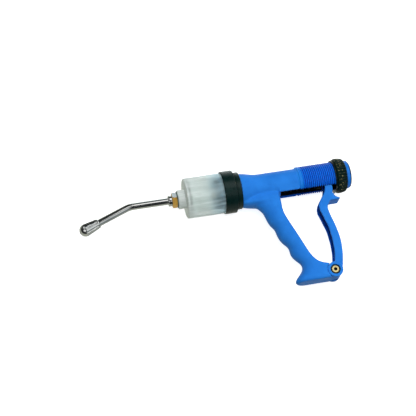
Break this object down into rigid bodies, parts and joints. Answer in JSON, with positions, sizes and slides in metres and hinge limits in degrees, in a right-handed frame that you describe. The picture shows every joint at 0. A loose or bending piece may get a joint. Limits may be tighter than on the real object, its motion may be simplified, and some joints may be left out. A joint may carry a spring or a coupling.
{
  "type": "livestock drencher",
  "caption": "Pistol-grip drenching gun with a clear dosing barrel, bent metal nozzle with a round tip, squeeze lever and a fluted nut on a thread that limits the dose.",
  "frame": {"origin": "on the barrel axis at the rear end of the hose tail", "axes": "+X along the barrel axis towards the rear, +Y towards the gun's top, +Z towards its left side; the gun lies on its right side"},
  "size_m": [0.2796, 0.1291, 0.0432],
  "materials": {
    "nozzle_chrome": "polished",
    "brass": "turned",
    "rubber": "matt",
    "spring_steel": "drawn wire",
    "ball_steel": "polished",
    "rod_steel": "ground",
    "clear_barrel": "frosted clear",
    "black_plastic": "satin",
    "piston_plastic": "satin",
    "blue_plastic": "satin moulded",
    "thread_blue": "moulded thread"
  },
  "bodies": {
    "gun": {"handle_body": "blue_plastic", "thread_sleeve": "thread_blue", "end_collar": "blue_plastic", "barrel": "clear_barrel", "barrel_nut": "black_plastic", "barrel_seal": "rubber", "nozzle_tube": "nozzle_chrome", "nozzle_tip": "nozzle_chrome", "nozzle_collar": "nozzle_chrome", "nozzle_fitting": "brass", "nozzle_washer": "rubber", "outlet_spring": "spring_steel", "return_spring": "spring_steel", "spring_seat": "rod_steel", "rod_bush": "brass", "rod_seal": "rubber", "pivot_bush": "brass"},
    "piston": {"piston_head": "piston_plastic", "piston_rings": "rubber", "inlet_retainer": "brass", "piston_rod": "rod_steel", "crosshead": "black_plastic", "rod_locknut": "brass", "hose_tail": "brass"},
    "lever": {"lever": "blue_plastic", "pivot_screw": "brass", "pivot_nut": "rod_steel"},
    "dose_stop": {"dose_stop_washer": "black_plastic"},
    "dose_nut": {"dose_nut": "black_plastic"},
    "inlet_ball": {"inlet_ball": "ball_steel"},
    "outlet_ball": {"outlet_ball": "ball_steel"}
  },
  "joints": [
    {"name": "lever_squeeze", "type": "hinge", "parent": "gun", "child": "lever", "pos_m": [-0.0367, -0.0998, 0], "axis": [0, 0, 1], "range_deg": [0, 13.5], "stiffness_Nm_per_rad": 4, "springref_deg": -11.46},
    {"name": "piston_slide", "type": "slide", "parent": "gun", "child": "piston", "axis": [-1, 0, 0], "range_m": [0, 0.0241], "deforming": ["return_spring"]},
    {"name": "dose_stop_slide", "type": "slide", "parent": "gun", "child": "dose_stop", "axis": [-1, 0, 0], "range_m": [0, 0.00205]},
    {"name": "dose_nut_turn", "type": "hinge", "parent": "dose_stop", "child": "dose_nut", "pos_m": [-0.0085, 0, 0], "axis": [-1, 0, 0], "range_deg": [0, 360]},
    {"name": "inlet_ball_lift", "type": "slide", "parent": "piston", "child": "inlet_ball", "axis": [-1, 0, 0], "range_m": [0, 0.0012]},
    {"name": "outlet_ball_lift", "type": "slide", "parent": "gun", "child": "outlet_ball", "axis": [-1, 0, 0], "range_m": [0, 0.0015], "stiffness_N_per_m": 200, "springref_m": -0.002, "deforming": ["outlet_spring"]}
  ],
  "couplings": [
    {"joint": "piston_slide", "follows": "lever_squeeze", "m_per_rad": 0.10116},
    {"joint": "dose_stop_slide", "follows": "dose_nut_turn", "m_per_rad": 0.00031831}
  ]
}
